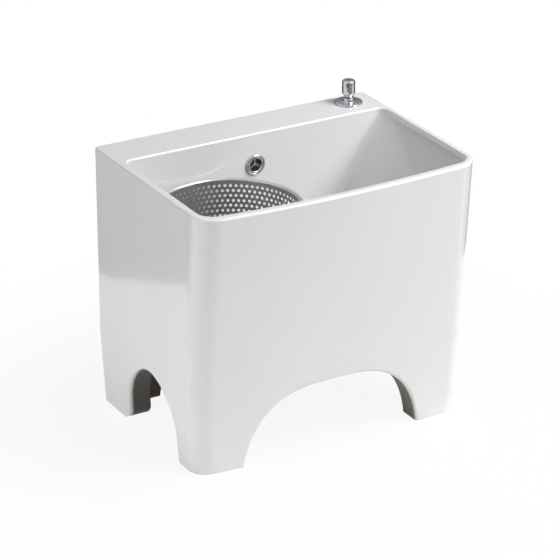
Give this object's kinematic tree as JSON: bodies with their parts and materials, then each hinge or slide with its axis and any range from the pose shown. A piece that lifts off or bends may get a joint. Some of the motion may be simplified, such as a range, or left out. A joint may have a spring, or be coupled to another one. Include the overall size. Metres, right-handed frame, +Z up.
{
  "type": "mop sink",
  "caption": "Free-standing white ceramic mop sink on four feet with a spin basket, a sloped side, an overflow and a lift-knob pop-up waste.",
  "frame": {"origin": "on the floor, under the middle of the sink's outline", "axes": "+X along the front to the knob's end, +Y to the wall, +Z up"},
  "size_m": [0.48, 0.3566, 0.468],
  "materials": {
    "white_glaze": "glossy white glaze",
    "satin_steel": "satin brushed",
    "bearing_steel": "ground and polished",
    "zinc_steel": "zinc plated",
    "chrome_plate": "mirror chrome",
    "grey_plastic": "moulded, fine texture",
    "white_plastic": "moulded",
    "black_rubber": "moulded"
  },
  "bodies": {
    "sink": {"basin_body": "white_glaze", "bearing_inner_ring": "bearing_steel", "axle": "zinc_steel", "axle_nut": "zinc_steel", "axle_flange": "satin_steel", "axle_gasket": "black_rubber", "axle_washer": "zinc_steel", "axle_base_nut": "zinc_steel", "drain_flange": "chrome_plate", "flange_gasket": "black_rubber", "drain_body": "white_plastic", "collar_gasket": "black_rubber", "collar_washer": "white_plastic", "collar_nut": "white_plastic", "tailpiece": "chrome_plate", "tail_seal": "black_rubber", "tail_nut": "white_plastic", "pivot_seat": "white_plastic", "pivot_nut": "white_plastic", "lift_escutcheon": "chrome_plate", "guide_sleeve": "zinc_steel", "ledge_gasket": "black_rubber", "ledge_washer": "zinc_steel", "ledge_nut": "zinc_steel", "overflow_ring": "chrome_plate", "overflow_gasket": "black_rubber"},
    "basket": {"basket_shell": "satin_steel", "mop_seat": "grey_plastic", "seat_screws": "zinc_steel", "basket_hub": "grey_plastic", "bearing_outer_ring": "bearing_steel", "bearing_balls": "bearing_steel", "hub_cap": "grey_plastic"},
    "knob": {"lift_knob": "chrome_plate", "lift_rod": "zinc_steel", "lift_strap": "zinc_steel", "strap_screw": "zinc_steel"},
    "pivot": {"pivot_rod": "zinc_steel", "spring_clip": "satin_steel"},
    "stopper": {"stopper_cap": "chrome_plate", "stopper_seal": "black_rubber", "stopper_stem": "white_plastic"}
  },
  "joints": [
    {"name": "basket_spin", "type": "hinge", "parent": "sink", "child": "basket", "pos_m": [-0.109, -0.015, 0.3], "axis": [0, 0, 1], "continuous": true},
    {"name": "knob_lift", "type": "slide", "parent": "sink", "child": "knob", "axis": [0, 0, 1], "range_m": [0, 0.03]},
    {"name": "pivot_turn", "type": "hinge", "parent": "sink", "child": "pivot", "pos_m": [0.07119, 0.04974, 0.146], "axis": [0.6169, -0.7871, 0], "range_deg": [-0.05, 11.32]},
    {"name": "stopper_lift", "type": "slide", "parent": "sink", "child": "stopper", "axis": [0, 0, 1], "range_m": [-0.00636, 0.00005]}
  ],
  "couplings": [
    {"joint": "pivot_turn", "follows": "knob_lift", "rad_per_m": 6.5559},
    {"joint": "stopper_lift", "follows": "knob_lift", "ratio": -0.21047}
  ]
}
